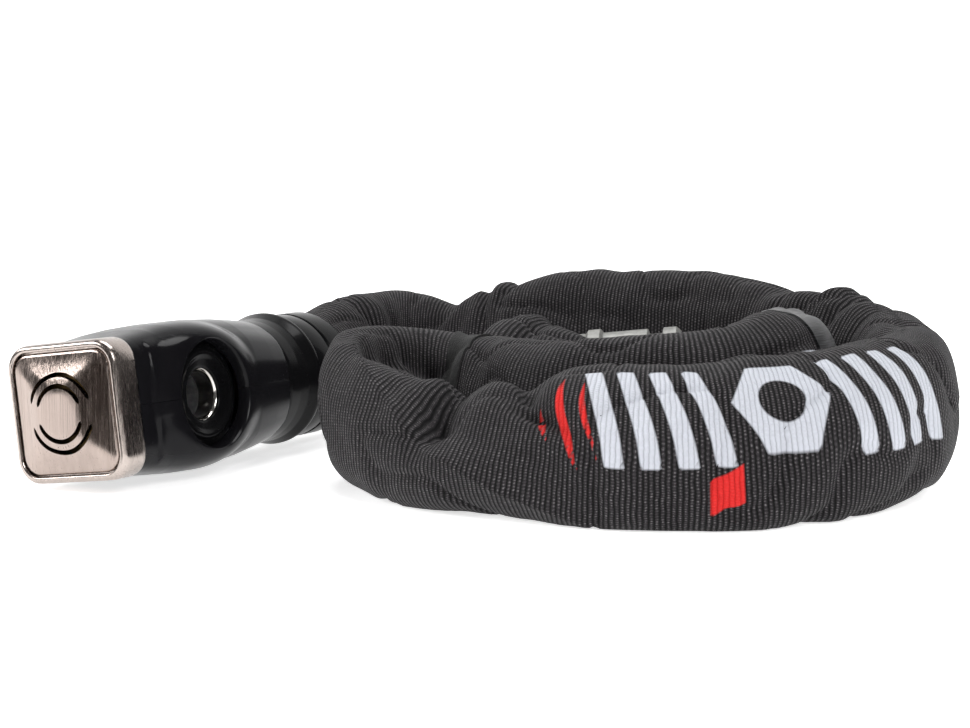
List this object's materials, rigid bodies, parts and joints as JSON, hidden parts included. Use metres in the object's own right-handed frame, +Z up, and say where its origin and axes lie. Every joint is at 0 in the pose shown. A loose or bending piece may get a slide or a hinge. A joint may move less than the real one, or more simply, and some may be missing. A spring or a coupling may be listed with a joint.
{
  "type": "chain lock",
  "caption": "Alarm chain lock: a plastic lock head with speaker plate and bolt socket on a steel chain in a ribbed nylon sleeve, coiled flat with its locking bolt free.",
  "frame": {"origin": "on the floor, under the middle of the lock's outline", "axes": "+Z up, +X along the coil's length away from the lock head, +Y away from the coil's open front"},
  "size_m": [0.2836, 0.2102, 0.0606],
  "materials": {
    "brushed_nickel": "brushed satin",
    "housing_plastic": "satin moulded",
    "black_rubber": "matte",
    "die_cast_zinc": "as cast",
    "hardened_steel": "satin",
    "chrome": "polished",
    "brass": "plain",
    "circuit_board": "solder mask",
    "cell_wrap": "printed wrap",
    "woven_nylon": "ribbed weave"
  },
  "bodies": {
    "chain": {"chain_link_01": "hardened_steel", "chain_link_02": "hardened_steel", "chain_link_03": "hardened_steel", "chain_link_04": "hardened_steel", "chain_link_05": "hardened_steel", "chain_link_06": "hardened_steel", "chain_link_07": "hardened_steel", "chain_link_08": "hardened_steel", "chain_link_09": "hardened_steel", "chain_link_10": "hardened_steel", "chain_link_11": "hardened_steel", "chain_link_12": "hardened_steel", "chain_link_13": "hardened_steel", "chain_link_14": "hardened_steel", "chain_link_15": "hardened_steel", "chain_link_16": "hardened_steel", "chain_link_17": "hardened_steel", "chain_link_18": "hardened_steel", "chain_link_19": "hardened_steel", "chain_link_20": "hardened_steel", "chain_link_21": "hardened_steel", "chain_link_22": "hardened_steel", "chain_link_23": "hardened_steel", "chain_link_24": "hardened_steel", "chain_link_25": "hardened_steel", "chain_link_26": "hardened_steel", "chain_link_27": "hardened_steel", "chain_link_28": "hardened_steel", "chain_link_29": "hardened_steel", "woven_sleeve": "woven_nylon"},
    "head": {"front_bezel": "brushed_nickel", "speaker_plate": "brushed_nickel", "piezo_siren": "brass", "alarm_board": "circuit_board", "shock_sensor": "hardened_steel", "arming_switch": "black_rubber", "upper_shell": "housing_plastic", "lower_shell": "housing_plastic", "shell_screw_front": "hardened_steel", "shell_screw_rear": "hardened_steel", "lock_core": "die_cast_zinc", "latch_spring": "hardened_steel", "latch_cover": "hardened_steel", "key_collar": "chrome", "bolt_bushing": "chrome", "socket_ring": "black_rubber", "battery": "cell_wrap", "battery_cradle": "black_rubber", "contact_negative": "brass", "contact_positive": "brass", "chain_anchor": "die_cast_zinc", "anchor_pin": "hardened_steel", "neck_band": "housing_plastic", "end_collar": "housing_plastic"},
    "key": {"key_plug": "chrome"},
    "latch": {"latch": "hardened_steel"},
    "plunger": {"arming_plunger": "hardened_steel"},
    "bolt": {"locking_bolt": "hardened_steel", "bolt_cross_pin": "hardened_steel"}
  },
  "joints": [
    {"name": "head_swing", "type": "hinge", "parent": "chain", "child": "head", "pos_m": [-0.07182, 0.04661, 0.02391], "axis": [0, 0, 1], "range_deg": [-12, 12]},
    {"name": "key_turn", "type": "hinge", "parent": "head", "child": "key", "pos_m": [-0.11242, -0.0081, 0.02269], "axis": [-0.8747, 0.469, -0.1219], "range_deg": [0, 90]},
    {"name": "latch_lift", "type": "slide", "parent": "head", "child": "latch", "axis": [-0.1074, 0.0576, 0.9925], "range_m": [0, 0.0031], "deforming": ["latch_spring"]},
    {"name": "plunger_press", "type": "slide", "parent": "head", "child": "plunger", "axis": [-0.4726, -0.8813, 0], "range_m": [0, 0.0015], "stiffness_N_per_m": 150},
    {"name": "bolt_swing", "type": "hinge", "parent": "chain", "child": "bolt", "pos_m": [0.02234, 0.03719, 0.03186], "axis": [-0.1389, -0.1981, 0.9703], "range_deg": [-10, 0]}
  ],
  "couplings": [
    {"joint": "latch_lift", "follows": "key_turn", "m_per_rad": 0.0019099}
  ]
}
